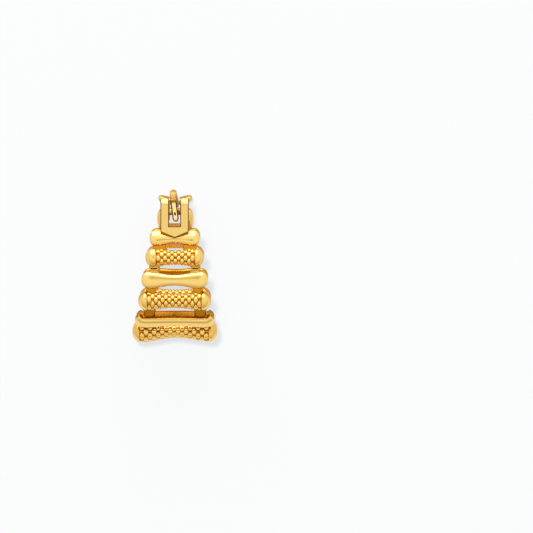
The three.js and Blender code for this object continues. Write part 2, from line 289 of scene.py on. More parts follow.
def full_circle(count):
    return np.linspace(0, 2 * np.pi, count, endpoint=False)


def arc(x, y, radius, start, end):
    turns = np.radians(np.linspace(start, end, ARC_STEPS + 1))
    return [(x + radius * math.cos(a), y + radius * math.sin(a)) for a in turns]


def ring_faces(first, second, count):
    """Faces between two closed rings of points, each given by its first point."""
    following = [*range(1, count), 0]
    return [(first + i, first + j, second + j, second + i) for i, j in enumerate(following)]


def tube_faces(rings, around):
    """Faces of a closed skin: a pole, rings of points around, and a pole."""
    last = 1 + rings * around
    last_ring = last - around
    faces = []
    for r in range(rings - 1):
        faces += ring_faces(1 + r * around, 1 + (r + 1) * around, around)
    for k in range(around):
        n = (k + 1) % around
        faces.append((0, 1 + n, 1 + k))
        faces.append((last, last_ring + k, last_ring + n))
    return faces


def shrunk(ring, by):
    middle = ring.mean(0)
    away = ring - middle
    size = np.linalg.norm(away, axis=1, keepdims=True)
    return middle + away * (1 - by / size)


# ---------------------------------------------------------------------------------------------
# Bars


def hoop_point(along, side):
    """A place on the hoop's centre line, and the turn there that takes +Z to the outside."""
    radius = LEAN_RADIUS if along < 0 else RING_RADIUS
    turn = along / radius
    y = -radius * math.sin(turn)
    z = RING_RADIUS - radius + radius * math.cos(turn)
    return (y, z, turn) if side == "back" else (y, -z, math.pi - turn)


def placed(points, along, side, skew=0.0):
    y, z, turn = hoop_point(along, side)
    points = turned_about_z(turned_about_x(points, turn), skew)
    return points + np.array([0, y, z])


def front_or_back(bar, side):
    """The bar as it is on one side of the hoop. "upper" is the sign of its Y towards the top."""
    differs = side == "front" and "front_waist" in bar
    return dict(
        bar,
        side=side,
        upper=1 if side == "back" else -1,
        waist=bar["front_waist"] if differs else bar["waist"],
    )


def swell(share):
    return np.sin(np.pi / 2 * np.minimum(1, np.abs(share) / WAIST_REACH)) ** 2


def end_rounding(bar, share):
    """A bar's size near its ends as a share of its full size: a ball for a knob, or squarer."""
    make = bar["make"]
    if "knob" in make:
        start = 1 - make["knob"] / (bar["length"] / 2)
        return np.sqrt(np.clip(1 - (np.maximum(share - start, 0) / (1 - start)) ** 2, 0, 1))
    return np.clip(1 - share ** make["ends"], 0, 1) ** (1 / END_POWER)


def section(bar, share, angle, inset):
    """Points of a bar's outline: share from -1 to 1 along it, angle from +Y round towards +Z."""
    make = bar["make"]
    grow = swell(share)
    upper_side = np.cos(angle) * bar["upper"] > 0
    widening = grow
    if bar.get("notched"):
        notch = smooth_step(NOTCH_FROM, NOTCH_TO, np.abs(share))
        widening = np.where(upper_side, notch, grow)
    half_width = (bar["waist"] + (bar["end"] - bar["waist"]) * widening) / 2 - inset
    outer = make["out_waist"] + (make["out_end"] - make["out_waist"]) * grow - inset
    inner = make["in_waist"] + (make["in_end"] - make["in_waist"]) * grow - inset
    rounding = end_rounding(bar, np.abs(share))
    rise_power = np.where(upper_side, UPPER_RISE_POWER, LOWER_RISE_POWER)
    rise = bar["upper"] * bar.get("rise", 0.0) * np.abs(share) ** rise_power
    outside = np.sin(angle) > 0
    power = 2 / np.where(outside, make["outside"], make["inside"])
    return np.stack([
        share * bar["length"] / 2 + 0 * angle,
        rise + rounding * half_width * signed_power(np.cos(angle), power),
        rounding * np.where(outside, outer, inner) * signed_power(np.sin(angle), power),
    ], axis=-1)


def bar_shares(from_share, to_share):
    """Where along a bar its rings lie: closer together near its ends, and doubled at a flat cut."""
    shares = -np.cos(np.linspace(0, np.pi, ALONG + 1))
    shares = shares[(shares > from_share + CUT_CLEAR) & (shares < to_share - CUT_CLEAR)]
    if from_share > -1:
        shares = np.concatenate([[from_share, from_share, from_share + CUT_STEP], shares])
    if to_share < 1:
        shares = np.concatenate([shares, [to_share - CUT_STEP, to_share, to_share]])
    return shares


def beaded_part(bar, shares):
    """1 where beads cover a bar, 0 where they don't, and a short slope between."""
    if "beads" not in bar:
        return 0 * shares
    beads = bar["beads"]
    reach = (beads["columns"] - 1) / 2 * beads["pitch"] + beads["radius"] * BEAD_END_SHARE
    beyond = np.abs(shares * bar["length"] / 2 - beads["shift"]) - reach
    return 1 - smooth_step(BEAD_FADE_FROM, BEAD_FADE_TO, beyond)


def facing_outward(rings):
    """How much of the skin's direction at each point is towards +Z."""
    along = np.gradient(rings, axis=0)
    around = np.roll(rings, -1, 1) - np.roll(rings, 1, 1)
    normals = np.cross(around, along)
    from_middle = rings - rings.mean(1, keepdims=True)
    normals *= np.sign((normals * from_middle).sum(-1, keepdims=True))
    length = np.linalg.norm(normals, axis=-1)
    return np.divide(normals[:, :, 2], length, out=np.zeros_like(length), where=length > 0)


def bar_painted_shade(bar, shares, rings, beaded):
    """Painted shade on a bar: its sides and its inner side are painted deeper, as is a beaded bar's
    core. So are the outer side and the ends of a front bar, but for the topmost two, which are open
    inside."""
    lift = facing_outward(rings)
    if bar.get("open_inside"):
        lift = np.abs(lift)
    painted_shade = bar.get("shade", 1.0) * smooth_step(SIDE_FROM, SIDE_TO, lift)
    painted_shade = np.maximum(painted_shade, bar.get("least_painted_shade", 0.0))
    painted_shade = np.maximum(painted_shade, CORE_PAINTED_SHADE * beaded[:, None])
    if bar["side"] == "front" and not bar.get("open_inside"):
        at_ends = smooth_step(END_FROM, END_TO, np.abs(shares))
        painted_shade = np.maximum(painted_shade, FRONT_PAINTED_SHADE * smooth_step(FRONT_FROM, FRONT_TO, lift))
        painted_shade = np.maximum(painted_shade, END_PAINTED_SHADE * at_ends[:, None])
    return painted_shade


def bar_skin(bar, from_share, to_share):
    """A whole bar, or the stretch of it between two shares with flat cuts."""
    shares = bar_shares(from_share, to_share)
    beaded = beaded_part(bar, shares)
    core_inset = beaded * bar["beads"]["radius"] if "beads" in bar else beaded
    rings = section(bar, shares[:, None], full_circle(AROUND)[None, :], core_inset[:, None])
    painted_shade = bar_painted_shade(bar, shares, rings, beaded)
    first = np.array([-bar["length"] / 2, 0, 0])
    last = np.array([bar["length"] / 2, 0, 0])
    if from_share > -1:
        rings[0] = shrunk(rings[0], CUT_ROUNDING)
        first = rings[0].mean(0)
    if to_share < 1:
        rings[-1] = shrunk(rings[-1], CUT_ROUNDING)
        last = rings[-1].mean(0)
    points = np.concatenate([[first], rings.reshape(-1, 3), [last]])
    return points, tube_faces(len(shares), AROUND), np.concatenate([[0], painted_shade.ravel(), [0]])


def add_bar(shell, bar, side, skew=0.0, from_share=-1.0, to_share=1.0):
    points, faces, painted_shade = bar_skin(front_or_back(bar, side), from_share, to_share)
    shell.add(placed(points, bar["along"], side, skew), faces, painted_shade)


# ---------------------------------------------------------------------------------------------
# Beads


def bead_skin():
    """A little ball on the origin with its top to +Z, closed just below its middle."""
    polar = np.linspace(0, math.radians(BEAD_CLOSING), BEAD_RINGS + 1)[1:]
    around = full_circle(BEAD_AROUND)
    reach = signed_power(np.sin(polar), 2 / BEAD_SQUARENESS)
    height = signed_power(np.cos(polar), 2 / BEAD_SQUARENESS)
    rings = np.stack([
        reach[:, None] * np.cos(around)[None, :],
        reach[:, None] * np.sin(around)[None, :],
        height[:, None] + 0 * around[None, :],
    ], axis=-1)
    points = np.concatenate([[[0, 0, 1]], rings.reshape(-1, 3), [[0, 0, height[-1]]]])
    faces = [tuple(reversed(face)) for face in tube_faces(BEAD_RINGS, BEAD_AROUND)]
    # The bead's lower side is painted in shade, towards the valleys between the beads.
    return points, faces, BEAD_PAINTED_SHADE * smooth_step(BEAD_FROM, BEAD_TO, points[:, 2])


def bead_places(bar):
    """Each bead's middle, its outward direction and how far it is drawn out around the bar."""
    beads = bar["beads"]
    radius = beads["radius"]
    spacing = 360 / BEADS_AROUND
    for column in range(beads["columns"]):
        x = (column - (beads["columns"] - 1) / 2) * beads["pitch"] + beads["shift"]
        shares = np.full(3, x / (bar["length"] / 2))
        first = beads["odd"] if column % 2 else spacing / 2 - beads["odd"]
        for row in range(BEADS_AROUND):
            degrees = 90 - (beads["turn"] + first + row * spacing)
            angles = np.radians([degrees - 1, degrees, degrees + 1])
            before, middle, after = section(bar, shares, angles, radius)
            _, step_y, step_z = after - before
            normal = np.array([step_z, -step_y]) / math.hypot(step_y, step_z)
            if normal @ middle[1:] < 0:
                normal = -normal
            radii = math.hypot(middle[1], middle[2]) / (BEAD_STRETCH["radii"] * radius)
            stretch = radii ** BEAD_STRETCH["power"]
            yield middle, normal, np.clip(stretch, BEAD_STRETCH["least"], BEAD_STRETCH["most"])


def add_beads(shell, bar, side):
    bar = front_or_back(bar, side)
    skin, faces, painted_shade = bead_skin()
    for middle, normal, stretch in bead_places(bar):
        ball = skin * bar["beads"]["radius"] * np.array([1, stretch, 1])
        ball = turned_about_x(ball, math.atan2(-normal[0], normal[1])) + middle
        shell.add(placed(ball, bar["along"], side), faces, painted_shade)


# ---------------------------------------------------------------------------------------------
# Ribs


def block_skin(size, bevel):
    """A box on the origin with rounded edges."""
    solid = bmesh.new()
    bmesh.ops.create_cube(solid, size=1)
    bmesh.ops.scale(solid, vec=size, verts=solid.verts)
    bmesh.ops.bevel(solid, geom=list(solid.edges), offset=bevel, segments=3, profile=0.5,
                    affect="EDGES")
    solid.verts.index_update()
    points = np.array([v.co for v in solid.verts])
    faces = [tuple(v.index for v in f.verts) for f in solid.faces]
    solid.free()
    return points, faces


def rib_skin(width, length):
    """A short bar along Y with an oval section."""
    angles = full_circle(RIB_AROUND)
    ring = np.stack([
        signed_power(np.cos(angles), 2 / RIB_SQUARENESS) * width / 2,
        0 * angles,
        signed_power(np.sin(angles), 2 / RIB_SQUARENESS) * RIB_THICKNESS / 2,
    ], axis=1)
    places = np.array([0, length / 2, 0]) * np.linspace(1, -1, RIB_RINGS)[:, None]
    points = (places[:, None, :] + ring[None, :, :]).reshape(-1, 3)
    return np.concatenate([places[:1], points, places[-1:]]), tube_faces(RIB_RINGS, RIB_AROUND)


def add_plain_rib(shell, width, length, lean, middle):
    points, faces = rib_skin(width, length)
    shell.add(turned_about_x(points, lean) + middle, faces, RIB_PAINTED_SHADE)


def add_slit_rib(shell, width, length, lean, middle):
    """A flat rib with a slit across it: two posts, two pads between them, and a floor painted dark
    as the shade in the slit.
    """

    def add_part(size, offset, painted_shade):
        points, faces = block_skin(size, SLIT_BEVEL)
        shell.add(turned_about_x(points + np.array(offset), lean) + middle, faces, painted_shade)

    post = width * (1 - SLIT_SHARE) / 2
    pad = (length - SLIT_HEIGHT) / 2
    for away in (-1, 1):
        post_place = (away * (width - post) / 2, 0, 0)
        pad_place = (0, away * (pad + SLIT_HEIGHT) / 2, 0)
        add_part((post, length, RIB_THICKNESS), post_place, SLIT_RIB_PAINTED_SHADE)
        add_part((width, pad, RIB_THICKNESS), pad_place, SLIT_RIB_PAINTED_SHADE)
    floor_size = (width - post, length * SLIT_FLOOR_SHARE, RIB_THICKNESS - 2 * SLIT_DEPTH)
    add_part(floor_size, (0, 0, 0), SLIT_PAINTED_SHADE)


def add_ribs(shell, bar, following, side):
    """The two ribs between neighbouring bars, which run between the bars' middles."""
    y0, z0, _ = hoop_point(bar["along"], side)
    y1, z1, _ = hoop_point(following["along"], side)
    _, _, turn = hoop_point((bar["along"] + following["along"]) / 2, side)
    inward = -1 if side == "back" else 1
    half = min(bar["length"], following["length"]) / 2
    width = half * bar.get("rib_width", RIB_WIDTH)
    place = half * bar.get("rib_place", RIB_PLACE)
    add_rib = add_slit_rib if following is SLIT_RIBS_ABOVE else add_plain_rib
    for x in (-place, place):
        middle = np.array([
            x,
            (y0 + y1) / 2 + RIB_INSET * math.sin(turn),
            (z0 + z1) / 2 + inward * RIB_INSET * abs(math.cos(turn)),
        ])
        add_rib(shell, width, math.hypot(y1 - y0, z1 - z0), math.atan2(z1 - z0, y1 - y0), middle)


# ---------------------------------------------------------------------------------------------
# The top of the front: the oval and the hinge plate, with a window through both


def hinge_plate_skin():
    (top_y, top_z), (foot_y, foot_z) = HINGE_PLATE["top"], HINGE_PLATE["foot"]
    length = math.hypot(top_y - foot_y, top_z - foot_z)
    points, faces = block_skin((HINGE_PLATE["width"], length, HINGE_PLATE["thickness"]),
                               HINGE_PLATE["bevel"])
    points = turned_about_x(points, math.atan2(top_z - foot_z, top_y - foot_y))
    points += np.array([0, (top_y + foot_y) / 2, (top_z + foot_z) / 2])
    # The plate is painted in deep shade above the window's middle, and lightly below it.
    above = points[:, 1] > WINDOW["y"]
    return points, faces, np.where(above, PLATE_PAINTED_SHADE, PLATE_FOOT_PAINTED_SHADE)


def window_prism():
    x, y = WINDOW["width"] / 2 - WINDOW["corner"], WINDOW["height"] / 2 - WINDOW["corner"]
    outline = []
    for i, (corner_x, corner_y) in enumerate(((x, y), (-x, y), (-x, -y), (x, -y))):
        outline += arc(corner_x, corner_y + WINDOW["y"], WINDOW["corner"], 90 * i, 90 * i + 90)
    count = len(outline)
    low, high = WINDOW["z"] - WINDOW["depth"] / 2, WINDOW["z"] + WINDOW["depth"] / 2
    points = [(*p, low) for p in outline] + [(*p, high) for p in outline]
    ends = [tuple(reversed(range(count))), tuple(range(count, 2 * count))]
    return points, ends + ring_faces(0, count, count)


def temporary_object(points, faces):
    mesh = bpy.data.meshes.new("temporary")
    mesh.from_pydata(np.asarray(points).tolist(), [], faces)
    made = bpy.data.objects.new("temporary", mesh)
    bpy.context.scene.collection.objects.link(made)
    return made


def with_window(points, faces, painted_shade):
    """A closed form with the window cut through it. The points that the cut adds lie on the
    window's walls, whose painted shade is deeper in their upper half."""
    points = np.asarray(points, np.float32)
    known = {tuple(np.round(p, 3)): depth for p, depth in zip(points, painted_shade)}
    form, cutter = temporary_object(points, faces), temporary_object(*window_prism())
    step = form.modifiers.new("cut", "BOOLEAN")
    step.operation = "DIFFERENCE"
    step.object = cutter
    step.solver = "EXACT"
    bpy.context.view_layer.update()
    evaluated = form.evaluated_get(bpy.context.evaluated_depsgraph_get())
    mesh = bpy.data.meshes.new_from_object(evaluated)
    cut_points = np.array([v.co for v in mesh.vertices], np.float32)
    cut_faces = [tuple(face.vertices) for face in mesh.polygons]
    bpy.data.objects.remove(form)
    bpy.data.objects.remove(cutter)
    bpy.data.meshes.remove(mesh)
    below = cut_points[:, 1] < WINDOW["y"]
    walls = np.where(below, WINDOW_FLOOR_PAINTED_SHADE, WINDOW_TOP_PAINTED_SHADE)
    return cut_points, cut_faces, [
        known.get(tuple(np.round(p, 3)), wall) for p, wall in zip(cut_points, walls)
    ]


# ---------------------------------------------------------------------------------------------
# Catch


def prong_sides():
    """Points up a prong's outer and inner side, row by row, from the flat part to the tip."""
    half, slot, corner = CATCH["width"] / 2, CATCH["slot_width"] / 2, CATCH["corner_radius"]
    bend = CATCH["top"] - corner
    straight = np.linspace(CATCH["top"] - CATCH["fall_length"], bend, PRONG_ROWS)[:-1]
    outer = [(half, y) for y in straight] + arc(half - corner, bend, corner, 0, 90)
    inner = [(slot, y) for y in straight] + arc(slot + corner, bend, corner, 180, 90)
    return outer, inner


def mirrored(points):
    return [(-x, y) for x, y in points]


def inset_outline(outline, by):
    """A closed outline, anticlockwise, with every side moved inward."""
    side = np.roll(outline, -1, 0) - outline
    side /= np.linalg.norm(side, axis=1, keepdims=True)
    after = np.stack([-side[:, 1], side[:, 0]], 1)
    before = np.roll(after, 1, 0)
    return outline + by * (before + after) / (1 + (before * after).sum(1, keepdims=True))


def catch_rings(outline):
    """The outline at the plate's back, under its rounded edge, and inward over that edge to the
    outer face, which falls away near the prongs' tips. With them goes each ring's painted shade,
    which draws a dark outline along the rounded edge."""
    bevel, face = CATCH["bevel"], CATCH["face"]
    count = len(outline)
    rings = []
    for z in (face - CATCH["thickness"], face - CATCH["fall"] - 2 * bevel):
        rings.append((np.c_[outline, np.full(count, z)], CATCH_SIDE_PAINTED_SHADE))
    for turn in np.radians(np.linspace(0, 90, BEVEL_STEPS + 1)):
        over = 1 - math.cos(turn)
        ring = inset_outline(outline, bevel * over)
        share = np.clip((ring[:, 1] - CATCH["top"]) / CATCH["fall_length"] + 1, 0, 1)
        drop = CATCH["fall"] * share ** CATCH["fall_power"] + bevel * (1 - math.sin(turn))
        painted_shade = CATCH_EDGE_PAINTED_SHADE * (1 - over ** CATCH_EDGE_POWER)
        rings.append((np.c_[ring, face - drop], painted_shade))
    return rings


def catch_skin():
    """A pointed plate with a slot between two prongs. Its outer face is a flat part and rows of
    faces across each prong."""
    outer, inner = prong_sides()
    half, slot = CATCH["width"] / 2, CATCH["slot_width"] / 2
    outline = np.array([
        (0, CATCH["point"]), (half, CATCH["shoulder"]), *outer, *reversed(inner),
        (slot, CATCH["slot_floor"]), (-slot, CATCH["slot_floor"]),
        *mirrored(inner), *reversed(mirrored(outer)), (-half, CATCH["shoulder"]),
    ])
    count, rows = len(outline), len(outer)
    rings = catch_rings(outline)
    faces = [tuple(reversed(range(count)))]
    for ring in range(len(rings) - 1):
        faces += ring_faces(ring * count, (ring + 1) * count, count)
    face_ring = (len(rings) - 1) * count
    # Each prong's first and last point on the outline, level with each other. The rows of its face
    # follow the outline on from the first and back from the last.
    right = (2, 1 + 2 * rows)
    left = (4 + 2 * rows, 3 + 4 * rows)
    for first, last in (right, left):
        for row in range(rows - 1):
            a, b = face_ring + first + row, face_ring + last - row
            faces.append((a, a + 1, b - 1, b))
    slot_floor = (right[1] + 1, left[0] - 1)
    flat_part = (0, 1, *right, *slot_floor, *left, count - 1)
    faces.append(tuple(face_ring + i for i in flat_part))
    points = np.concatenate([ring for ring, _ in rings])
    return points, faces, np.repeat([painted_shade for _, painted_shade in rings], count)


# ---------------------------------------------------------------------------------------------
# Ear wire


def spline(points, samples):
    """A centripetal Catmull-Rom curve through the points."""
    points = [np.array(p, float) for p in points]
    points = [2 * points[0] - points[1], *points, 2 * points[-1] - points[-2]]
    result = []
    for i in range(1, len(points) - 2):
        p0, p1, p2, p3 = points[i - 1:i + 3]
        t0 = 0.0
        t1 = t0 + np.linalg.norm(p1 - p0) ** 0.5
        t2 = t1 + np.linalg.norm(p2 - p1) ** 0.5
        t3 = t2 + np.linalg.norm(p3 - p2) ** 0.5
        for t in np.linspace(t1, t2, samples, endpoint=False):
            a1 = (t1 - t) / (t1 - t0) * p0 + (t - t0) / (t1 - t0) * p1
            a2 = (t2 - t) / (t2 - t1) * p1 + (t - t1) / (t2 - t1) * p2
            a3 = (t3 - t) / (t3 - t2) * p2 + (t - t2) / (t3 - t2) * p3
            b1 = (t2 - t) / (t2 - t0) * a1 + (t - t0) / (t2 - t0) * a2
            b2 = (t3 - t) / (t3 - t1) * a2 + (t - t1) / (t3 - t1) * a3
            result.append((t2 - t) / (t2 - t1) * b1 + (t - t1) / (t2 - t1) * b2)
    result.append(points[-2])
    return np.array(result)


def wire_skin():
    route = spline(WIRE_ROUTE, WIRE_SAMPLES)
    tangent = np.gradient(route, axis=0)
    tangent /= np.linalg.norm(tangent, axis=1, keepdims=True)
    side = np.cross(tangent, [1.0, 0, 0])
    side /= np.linalg.norm(side, axis=1, keepdims=True)
    other = np.cross(tangent, side)
    around = full_circle(WIRE_AROUND)
    share = np.linspace(0, 1, len(route))
    on_stub = smooth_step(STUB["start"], STUB["end"], share)
    width = WIRE_RADIUS * (1 + STUB["wider"] * on_stub)
    power = 2 / (2 + STUB["squarer"] * on_stub)
    offsets = np.stack([
        WIRE_RADIUS * signed_power(np.cos(around), power[i])[:, None] * side[i]
        + width[i] * signed_power(np.sin(around), power[i])[:, None] * other[i]
        for i in range(len(route))
    ])
    for end in (0, -1):
        offsets[end] = shrunk(offsets[end], CUT_ROUNDING)
    rings = route[:, None, :] + offsets
    painted_shade = wire_painted_shade(share, offsets)
    points = np.concatenate([route[:1], rings.reshape(-1, 3), route[-1:]])
    return points, tube_faces(len(route), WIRE_AROUND), np.concatenate([[0], painted_shade.ravel(), [0]])


def wire_painted_shade(share, offsets):
    """Painted shade on the stub's skin, deeper where it turns off to the sides and to the top."""
    facing = offsets / np.linalg.norm(offsets, axis=2, keepdims=True)
    to_side = smooth_step(STUB_SIDE_FROM, STUB_SIDE_TO, np.abs(facing[:, :, 0]))
    to_top = smooth_step(STUB_TOP_FROM, STUB_TOP_TO, facing[:, :, 1])
    on_stub = smooth_step(STUB_FROM, STUB_TO, share)
    return STUB_PAINTED_SHADE * on_stub[:, None] * np.maximum(to_side, to_top)


def knuckle_skin():
    """A tube along X with a bore, all its edges rounded, around the hinge."""
    rounding = KNUCKLE["rounding"]
    end = KNUCKLE["length"] / 2 - rounding
    outer, inner = KNUCKLE["radius"] - rounding, KNUCKLE["bore"] + rounding
    profile = []
    for x, radius, start in ((end, inner, -90), (end, outer, 0), (-end, outer, 90), (-end, inner, 180)):
        for a in np.radians(start + np.array([0, 30, 60, 90])):
            profile.append((x + rounding * math.cos(a), radius + rounding * math.sin(a)))
    around = full_circle(WIRE_AROUND)
    points = [(x, r * math.cos(a), r * math.sin(a)) for x, r in profile for a in around]
    faces = []
    for i in range(len(profile)):
        j = (i + 1) % len(profile)
        faces += ring_faces(i * WIRE_AROUND, j * WIRE_AROUND, WIRE_AROUND)
    return np.array(points) + np.array([0, HINGE_Y, HINGE_Z]), faces


def tongue_skin():
    """The flat tongue: a squarish section that runs straight, with an eye in its face, and closes
    in a rounded tip."""
    length = TONGUE["top"] - TONGUE["tip"]
    down = np.linspace(0, 1, TONGUE_RINGS) * length
    close = np.clip((down - length + TONGUE["tip_length"]) / TONGUE["tip_length"], 0, 1)
    size = np.sqrt(np.clip(1 - close ** TONGUE["tip_power"], TONGUE["tip_size"] ** 2, 1))
    size[0] = TONGUE["top_size"]
    thickness = (1 - TONGUE["thinning"] + TONGUE["thinning"] * size) * size * TONGUE["thickness"]
    angles = full_circle(TONGUE_AROUND)
    power = 2 / TONGUE["squareness"]
    rings = np.stack([
        size[:, None] * TONGUE["width"] / 2 * signed_power(np.cos(angles), power)[None, :],
        -down[:, None] + 0 * angles[None, :],
        thickness[:, None] / 2 * signed_power(np.sin(angles), power)[None, :],
    ], axis=-1)
    points = np.concatenate([[[0, 0, 0]], rings.reshape(-1, 3), [[0, -length, 0]]])
    from_eye = np.hypot(
        points[:, 0] / (TONGUE_EYE["width"] / 2),
        (points[:, 1] + TONGUE["top"] - TONGUE_EYE["y"]) / (TONGUE_EYE["length"] / 2),
    )
    dent = smooth_step(TONGUE_EYE["outside"], TONGUE_EYE["inside"], from_eye) * (points[:, 2] > 0)
    points[:, 2] -= dent * TONGUE_EYE["depth"]
    painted_shade = np.maximum(tongue_painted_shade(points, length), EYE_PAINTED_SHADE * dent)
    points = turned_about_z(points, math.radians(TONGUE["lean"]))
    points += np.array([TONGUE["top_x"], TONGUE["top"], TONGUE["back"] - TONGUE["thickness"] / 2])
    return points, tube_faces(TONGUE_RINGS, TONGUE_AROUND), painted_shade


def tongue_painted_shade(points, length):
    """Painted shade on the tongue, deeper all along its rim, around its tip and under the wire's stub."""
    to_tip = np.clip((length + points[:, 1]) / RIM_AT_TIP, 0, 1)
    rim = np.hypot(points[:, 0] / (TONGUE["width"] / 2), 1 - to_tip)
    under_stub = smooth_step(UNDER_STUB_FROM, UNDER_STUB_TO, points[:, 1])
    return np.maximum(RIM_PAINTED_SHADE * smooth_step(RIM_FROM, RIM_TO, rim), UNDER_STUB_PAINTED_SHADE * under_stub)


# ---------------------------------------------------------------------------------------------
# Materials

# The deeper golds painted for shade in a recess and in a pit, the scale of the colour's drift, the
# values that most of the grain's noise lies between, and the grain's height in metres.
PAINTED_SHADE_GOLD = (0.6, 0.275, 0.018)
PAINTED_PIT_SHADE_GOLD = (0.09, 0.035, 0.003)
DRIFT_SCALE = 260
GRAIN_LOW, GRAIN_HIGH = 0.3, 0.7
GRAIN_HEIGHT = 0.00002


def colour_mix(nodes, links, factor, first, second):
    """Links a mix of two colours, each a colour or another node's output, and returns its output."""
    mix = nodes.new("ShaderNodeMix")
    mix.data_type = "RGBA"
    mix.clamp_factor = True
    links.new(factor, mix.inputs["Factor"])
    for socket, colour in ((mix.inputs[6], first), (mix.inputs[7], second)):
        if isinstance(colour, tuple):
            socket.default_value = (*colour, 1)
        else:
            links.new(colour, socket)
    return mix.outputs[2]


def noise(nodes, links, place, scale, detail):
    made = nodes.new("ShaderNodeTexNoise")
    made.inputs["Scale"].default_value = scale
    made.inputs["Detail"].default_value = detail
    links.new(place, made.inputs["Vector"])
    return made.outputs["Fac"]


def gold(name, colour, drifted, roughness, unevenness, relief, grain_scale, stretch=(1, 1, 1)):
    """Gold plate: its colour drifts a little and is painted deeper where each point's painted shade
    says, its polish is uneven, and it has a fine grain."""
    material = bpy.data.materials.new(name)
    material.use_nodes = True
    nodes, links = material.node_tree.nodes, material.node_tree.links
    surface = nodes["Principled BSDF"]
    surface.inputs["Metallic"].default_value = 1.0

    place = nodes.new("ShaderNodeTexCoord").outputs["Object"]
    drift = noise(nodes, links, place, DRIFT_SCALE, 3)
    # The painted shade mixes the colour towards the deep gold up to 1, and beyond 1 towards the near black of a
    # pit.
    painted_shade = nodes.new("ShaderNodeAttribute")
    painted_shade.attribute_name = "painted_shade"
    beyond = nodes.new("ShaderNodeMath")
    beyond.operation = "SUBTRACT"
    beyond.inputs[1].default_value = 1.0
    links.new(painted_shade.outputs["Fac"], beyond.inputs[0])
    tint = colour_mix(nodes, links, drift, colour, drifted)
    tint = colour_mix(nodes, links, painted_shade.outputs["Fac"], tint, PAINTED_SHADE_GOLD)
    tint = colour_mix(nodes, links, beyond.outputs["Value"], tint, PAINTED_PIT_SHADE_GOLD)
    links.new(tint, surface.inputs["Base Color"])

    stretched = nodes.new("ShaderNodeMapping")
    stretched.inputs["Scale"].default_value = stretch
    links.new(place, stretched.inputs["Vector"])
    grain = noise(nodes, links, stretched.outputs["Vector"], grain_scale, 4)
    polish = nodes.new("ShaderNodeMapRange")
    polish.inputs["From Min"].default_value = GRAIN_LOW
    polish.inputs["From Max"].default_value = GRAIN_HIGH
    polish.inputs["To Min"].default_value = roughness - unevenness
    polish.inputs["To Max"].default_value = roughness + unevenness
    links.new(grain, polish.inputs["Value"])
    links.new(polish.outputs["Result"], surface.inputs["Roughness"])
    bump = nodes.new("ShaderNodeBump")
    bump.inputs["Strength"].default_value = relief
    bump.inputs["Distance"].default_value = GRAIN_HEIGHT
    links.new(grain, bump.inputs["Height"])
    links.new(bump.outputs["Normal"], surface.inputs["Normal"])
    return material


polished = gold("polished_gold", (0.93, 0.67, 0.22), (0.91, 0.635, 0.19),
                roughness=0.2, unevenness=0.03, relief=0.12, grain_scale=900)
beaded = gold("beaded_gold", (0.92, 0.65, 0.2), (0.9, 0.61, 0.16),
              roughness=0.06, unevenness=0.02, relief=0.03, grain_scale=900)
# A paler and brighter copy of the gold, as painted highlight on the tongue's face and on the catch's nubs.
highlight_gold = gold("painted_highlight_gold", (1.0, 0.8, 0.36), (0.96, 0.74, 0.3),
              roughness=0.12, unevenness=0.02, relief=0.05, grain_scale=900)
# Satin gold for the wire and the hinge pin: rougher for its satin finish, and its colour painted darker than the
# polished gold as painted shade.
satin_shaded_gold = gold("satin_gold", (0.56, 0.36, 0.115), (0.52, 0.33, 0.1),
             roughness=0.62, unevenness=0.05, relief=0.3, grain_scale=1400, stretch=(6, 1, 1))

# ---------------------------------------------------------------------------------------------
# Pieces


def build_bars():
    smooth_bars, cores = Shell(), Shell()
    beads = {"back": Shell(), "front": Shell()}
    for side in ("back", "front"):
        for bar in BARS:
            add_bar(cores if "beads" in bar else smooth_bars, bar, side)
            if "beads" in bar:
                add_beads(beads[side], bar, side)
    add_bar(smooth_bars, BOTTOM_BAR, "back", skew=math.radians(BOTTOM_BAR_SKEW))
    smooth_bars.piece("smooth_bars", polished, "hoop_body", "polished_gold", "hoop")
    cores.piece("beaded_bar_cores", beaded, "hoop_body", "beaded_gold")
    beads["back"].piece("back_beads", beaded, "hoop_body", "beaded_gold")
    beads["front"].piece("front_beads", beaded, "hoop_body", "beaded_gold")


def build_ribs():
    ribs = Shell()
    columns = {"back": [*BARS, BOTTOM_BAR], "front": [TOP_BAR, TOP_OVAL, *BARS, BOTTOM_BAR]}
    for side, column in columns.items():
        for bar, following in zip(column, column[1:]):
            add_ribs(ribs, bar, following, side)
    ribs.piece("ribs", polished, "hoop_body", "polished_gold")


def build_hinge_ears():
    """The oval, the hinge plate behind it, and the top bar, cut in two ears for the wire's knuckle."""
    ears = Shell(edge_angle=55)
    oval = front_or_back(TOP_OVAL, "front")
    points, faces, painted_shade = bar_skin(oval, -1.0, 1.0)
    ears.add(*with_window(placed(points, oval["along"], "front"), faces, painted_shade))
    ear_share = EAR_SLOT_WIDTH / TOP_BAR["length"]
    add_bar(ears, TOP_BAR, "front", from_share=ear_share)
    add_bar(ears, TOP_BAR, "front", to_share=-ear_share)
    ears.add(*with_window(*hinge_plate_skin()))
    ears.piece("hinge_ears", polished, "hoop_body", "polished_gold")


def build_catch():
    nubs = Shell()
    points, faces, _ = bead_skin()
    x = CATCH["slot_width"] / 2 - NUB_RADIUS + NUB_SINK
    for side, y in zip((-1, 1), NUB_HEIGHTS):
        middle = np.array([side * x, y, CATCH["face"] - CATCH["thickness"]])
        nubs.add(points * NUB_RADIUS + middle, faces)
    # The nubs take the paler gold of painted highlight.
    nubs.piece("catch_nubs", highlight_gold, "hoop_body", "polished_gold")
    catch = Shell()
    catch.add(*catch_skin())
    catch.piece("catch", polished, "hoop_body", "polished_gold")


